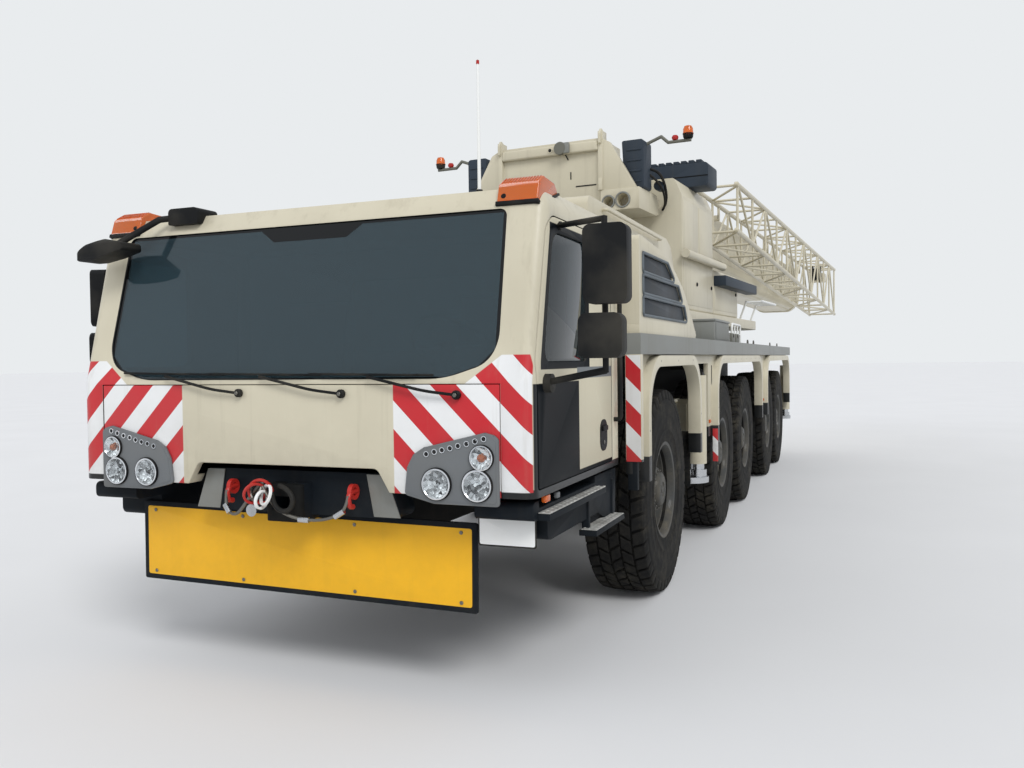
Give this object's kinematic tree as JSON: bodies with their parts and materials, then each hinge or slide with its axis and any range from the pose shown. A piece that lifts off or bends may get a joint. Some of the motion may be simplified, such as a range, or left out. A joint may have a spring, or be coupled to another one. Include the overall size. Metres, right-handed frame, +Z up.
{
  "type": "five-axle mobile crane",
  "caption": "All-terrain mobile crane: steered carrier with outriggers, low cab, slewing upper with cab, telescopic boom, luffing cylinder and a side-stowed lattice jib.",
  "frame": {"origin": "middle of the whole crane's outline on the ground, wheels straight and boom as stowed", "axes": "+Y towards the carrier's rear, +X towards its left side, +Z up"},
  "size_m": [3.721, 19.4532, 4.0254],
  "materials": {
    "cream_paint": "gloss",
    "cream_cab": "gloss",
    "grey_paint": "satin",
    "dark_paint": "satin",
    "black_steel": "satin",
    "tyre": "matte",
    "glazing": "clear",
    "seat_black": "matte",
    "lamp_grey": "gloss",
    "amber": "gloss",
    "sign_yellow": "satin",
    "mirror_black": "matte",
    "engine_grey": "rough",
    "bright_rod": "polished",
    "cable_steel": "rough"
  },
  "bodies": {
    "carrier": {"cab_shell": "cream_cab", "cab_glass": "glazing", "cab_front_panel": "cream_cab", "cab_interior": "seat_black", "lamps": "lamp_grey", "chassis_frame": "black_steel", "deck": "grey_paint", "fenders": "dark_paint", "side_boxes": "dark_paint", "engine_housing": "cream_paint", "engine_block": "engine_grey", "front_signs": "sign_yellow", "front_mirror": "mirror_black", "axle_beams": "black_steel"},
    "superstructure": {"platform": "cream_paint", "tail_unit": "cream_paint", "upper_housings": "dark_paint", "tail_lamps": "amber", "operator_cab": "cream_cab"},
    "boom": {"boom_base": "cream_paint", "jib": "cream_paint"},
    "cab_door_left": {"cab_door_left": "dark_paint"},
    "cab_door_right": {"cab_door_right": "dark_paint"},
    "winch_drum": {"winch_drum": "cable_steel"},
    "operator_door": {"operator_door": "cream_cab"},
    "boom_second": {"boom_second": "cream_paint"},
    "boom_third": {"boom_third": "cream_paint"},
    "boom_top": {"boom_top": "cream_paint"},
    "luff_barrel": {"luff_barrel": "cream_paint"},
    "luff_rod": {"luff_rod": "bright_rod"},
    "knuckle_1_left": {"knuckle_1_left": "black_steel"},
    "wheel_1_left": {"wheel_1_left": "tyre"},
    "knuckle_1_right": {"knuckle_1_right": "black_steel"},
    "wheel_1_right": {"wheel_1_right": "tyre"},
    "knuckle_2_left": {"knuckle_2_left": "black_steel"},
    "wheel_2_left": {"wheel_2_left": "tyre"},
    "knuckle_2_right": {"knuckle_2_right": "black_steel"},
    "wheel_2_right": {"wheel_2_right": "tyre"},
    "knuckle_3_left": {"knuckle_3_left": "black_steel"},
    "wheel_3_left": {"wheel_3_left": "tyre"},
    "knuckle_3_right": {"knuckle_3_right": "black_steel"},
    "wheel_3_right": {"wheel_3_right": "tyre"},
    "knuckle_4_left": {"knuckle_4_left": "black_steel"},
    "wheel_4_left": {"wheel_4_left": "tyre"},
    "knuckle_4_right": {"knuckle_4_right": "black_steel"},
    "wheel_4_right": {"wheel_4_right": "tyre"},
    "knuckle_5_left": {"knuckle_5_left": "black_steel"},
    "wheel_5_left": {"wheel_5_left": "tyre"},
    "knuckle_5_right": {"knuckle_5_right": "black_steel"},
    "wheel_5_right": {"wheel_5_right": "tyre"},
    "outrigger_front_left": {"outrigger_front_left": "cream_paint"},
    "jack_front_left": {"jack_front_left": "bright_rod"},
    "outrigger_front_right": {"outrigger_front_right": "cream_paint"},
    "jack_front_right": {"jack_front_right": "bright_rod"},
    "outrigger_rear_left": {"outrigger_rear_left": "cream_paint"},
    "jack_rear_left": {"jack_rear_left": "bright_rod"},
    "outrigger_rear_right": {"outrigger_rear_right": "cream_paint"},
    "jack_rear_right": {"jack_rear_right": "bright_rod"}
  },
  "joints": [
    {"name": "door_left_swing", "type": "hinge", "parent": "carrier", "child": "cab_door_left", "pos_m": [1.23233, -9.61961, 1.07], "axis": [0, 0, -1], "range_deg": [0, 70]},
    {"name": "door_right_swing", "type": "hinge", "parent": "carrier", "child": "cab_door_right", "pos_m": [-1.51767, -9.61961, 1.07], "axis": [0, 0, 1], "range_deg": [0, 70]},
    {"name": "steer_1_left", "type": "hinge", "parent": "carrier", "child": "knuckle_1_left", "pos_m": [0.85733, -6.97161, 0.745], "axis": [0, 0, 1], "range_deg": [-28, 28]},
    {"name": "spin_1_left", "type": "hinge", "parent": "knuckle_1_left", "child": "wheel_1_left", "pos_m": [1.04733, -6.97161, 0.745], "axis": [1, 0, 0], "continuous": true},
    {"name": "steer_1_right", "type": "hinge", "parent": "carrier", "child": "knuckle_1_right", "pos_m": [-1.14267, -6.97161, 0.745], "axis": [0, 0, 1], "range_deg": [-28.5, 28.5]},
    {"name": "spin_1_right", "type": "hinge", "parent": "knuckle_1_right", "child": "wheel_1_right", "pos_m": [-1.33267, -6.97161, 0.745], "axis": [1, 0, 0], "continuous": true},
    {"name": "steer_2_left", "type": "hinge", "parent": "carrier", "child": "knuckle_2_left", "pos_m": [0.85733, -4.23161, 0.745], "axis": [0, 0, 1], "range_deg": [-19.5, 19.5]},
    {"name": "spin_2_left", "type": "hinge", "parent": "knuckle_2_left", "child": "wheel_2_left", "pos_m": [1.04733, -4.23161, 0.745], "axis": [1, 0, 0], "continuous": true},
    {"name": "steer_2_right", "type": "hinge", "parent": "carrier", "child": "knuckle_2_right", "pos_m": [-1.14267, -4.23161, 0.745], "axis": [0, 0, 1], "range_deg": [-19.5, 19.5]},
    {"name": "spin_2_right", "type": "hinge", "parent": "knuckle_2_right", "child": "wheel_2_right", "pos_m": [-1.33267, -4.23161, 0.745], "axis": [1, 0, 0], "continuous": true},
    {"name": "steer_3_left", "type": "hinge", "parent": "carrier", "child": "knuckle_3_left", "pos_m": [0.85733, -2.48161, 0.745], "axis": [0, 0, 1], "range_deg": [-8.9, 8.9]},
    {"name": "spin_3_left", "type": "hinge", "parent": "knuckle_3_left", "child": "wheel_3_left", "pos_m": [1.04733, -2.48161, 0.745], "axis": [1, 0, 0], "continuous": true},
    {"name": "steer_3_right", "type": "hinge", "parent": "carrier", "child": "knuckle_3_right", "pos_m": [-1.14267, -2.48161, 0.745], "axis": [0, 0, 1], "range_deg": [-8.9, 8.9]},
    {"name": "spin_3_right", "type": "hinge", "parent": "knuckle_3_right", "child": "wheel_3_right", "pos_m": [-1.33267, -2.48161, 0.745], "axis": [1, 0, 0], "continuous": true},
    {"name": "steer_4_left", "type": "hinge", "parent": "carrier", "child": "knuckle_4_left", "pos_m": [0.85733, -0.01161, 0.745], "axis": [0, 0, 1], "range_deg": [-10.3, 10.3]},
    {"name": "spin_4_left", "type": "hinge", "parent": "knuckle_4_left", "child": "wheel_4_left", "pos_m": [1.04733, -0.01161, 0.745], "axis": [1, 0, 0], "continuous": true},
    {"name": "steer_4_right", "type": "hinge", "parent": "carrier", "child": "knuckle_4_right", "pos_m": [-1.14267, -0.01161, 0.745], "axis": [0, 0, 1], "range_deg": [-10.3, 10.3]},
    {"name": "spin_4_right", "type": "hinge", "parent": "knuckle_4_right", "child": "wheel_4_right", "pos_m": [-1.33267, -0.01161, 0.745], "axis": [1, 0, 0], "continuous": true},
    {"name": "steer_5_left", "type": "hinge", "parent": "carrier", "child": "knuckle_5_left", "pos_m": [0.85733, 1.60839, 0.745], "axis": [0, 0, 1], "range_deg": [-17.3, 17.3]},
    {"name": "spin_5_left", "type": "hinge", "parent": "knuckle_5_left", "child": "wheel_5_left", "pos_m": [1.04733, 1.60839, 0.745], "axis": [1, 0, 0], "continuous": true},
    {"name": "steer_5_right", "type": "hinge", "parent": "carrier", "child": "knuckle_5_right", "pos_m": [-1.14267, 1.60839, 0.745], "axis": [0, 0, 1], "range_deg": [-17.3, 17.3]},
    {"name": "spin_5_right", "type": "hinge", "parent": "knuckle_5_right", "child": "wheel_5_right", "pos_m": [-1.33267, 1.60839, 0.745], "axis": [1, 0, 0], "continuous": true},
    {"name": "outrigger_front_left_out", "type": "slide", "parent": "carrier", "child": "outrigger_front_left", "axis": [1, 0, 0], "range_m": [0, 2]},
    {"name": "jack_front_left_down", "type": "slide", "parent": "outrigger_front_left", "child": "jack_front_left", "axis": [0, 0, -1], "range_m": [0, 0.6]},
    {"name": "outrigger_front_right_out", "type": "slide", "parent": "carrier", "child": "outrigger_front_right", "axis": [-1, 0, 0], "range_m": [0, 2]},
    {"name": "jack_front_right_down", "type": "slide", "parent": "outrigger_front_right", "child": "jack_front_right", "axis": [0, 0, -1], "range_m": [0, 0.6]},
    {"name": "outrigger_rear_left_out", "type": "slide", "parent": "carrier", "child": "outrigger_rear_left", "axis": [1, 0, 0], "range_m": [0, 2]},
    {"name": "jack_rear_left_down", "type": "slide", "parent": "outrigger_rear_left", "child": "jack_rear_left", "axis": [0, 0, -1], "range_m": [0, 0.6]},
    {"name": "outrigger_rear_right_out", "type": "slide", "parent": "carrier", "child": "outrigger_rear_right", "axis": [-1, 0, 0], "range_m": [0, 2]},
    {"name": "jack_rear_right_down", "type": "slide", "parent": "outrigger_rear_right", "child": "jack_rear_right", "axis": [0, 0, -1], "range_m": [0, 0.6]},
    {"name": "slew", "type": "hinge", "parent": "carrier", "child": "superstructure", "pos_m": [-0.14267, -1.17161, 0], "axis": [0, 0, 1], "continuous": true},
    {"name": "winch_spin", "type": "hinge", "parent": "superstructure", "child": "winch_drum", "pos_m": [-0.23788, -2.46812, 2.56], "axis": [0.9973, -0.0732, 0], "continuous": true},
    {"name": "operator_door_slide", "type": "slide", "parent": "superstructure", "child": "operator_door", "axis": [-0.0732, -0.9973, 0], "range_m": [0, 0.7]},
    {"name": "luff", "type": "hinge", "parent": "superstructure", "child": "boom", "pos_m": [-0.30746, -3.41557, 3.42], "axis": [0.9973, -0.0732, 0], "range_deg": [0, 82]},
    {"name": "luff_barrel_turn", "type": "hinge", "parent": "superstructure", "child": "luff_barrel", "pos_m": [-0.14677, -1.22746, 2.448], "axis": [0.9973, -0.0732, 0], "range_deg": [-1, 93.7]},
    {"name": "luff_rod_out", "type": "slide", "parent": "luff_barrel", "child": "luff_rod", "axis": [0.0731, 0.9952, 0.0657], "range_m": [-0.02, 3.08]},
    {"name": "boom_second_out", "type": "slide", "parent": "boom", "child": "boom_second", "axis": [0.0732, 0.9972, -0.0175], "range_m": [0, 8.8]},
    {"name": "boom_third_out", "type": "slide", "parent": "boom_second", "child": "boom_third", "axis": [0.0732, 0.9972, -0.0175], "range_m": [0, 8.8]},
    {"name": "boom_top_out", "type": "slide", "parent": "boom_third", "child": "boom_top", "axis": [0.0732, 0.9972, -0.0175], "range_m": [0, 8.8]}
  ],
  "couplings": [
    {"joint": "steer_1_right", "follows": "steer_1_left", "ratio": 1},
    {"joint": "steer_2_left", "follows": "steer_1_left", "ratio": 0.68},
    {"joint": "steer_2_right", "follows": "steer_1_left", "ratio": 0.68},
    {"joint": "steer_3_left", "follows": "steer_1_left", "ratio": 0.3},
    {"joint": "steer_3_right", "follows": "steer_1_left", "ratio": 0.3},
    {"joint": "steer_4_left", "follows": "steer_1_left", "ratio": -0.35},
    {"joint": "steer_4_right", "follows": "steer_1_left", "ratio": -0.35},
    {"joint": "steer_5_left", "follows": "steer_1_left", "ratio": -0.6},
    {"joint": "steer_5_right", "follows": "steer_1_left", "ratio": -0.6},
    {"joint": "luff_barrel_turn", "follows": "luff", "ratio": 1.1182},
    {"joint": "luff_rod_out", "follows": "luff", "m_per_rad": 2.1171}
  ]
}
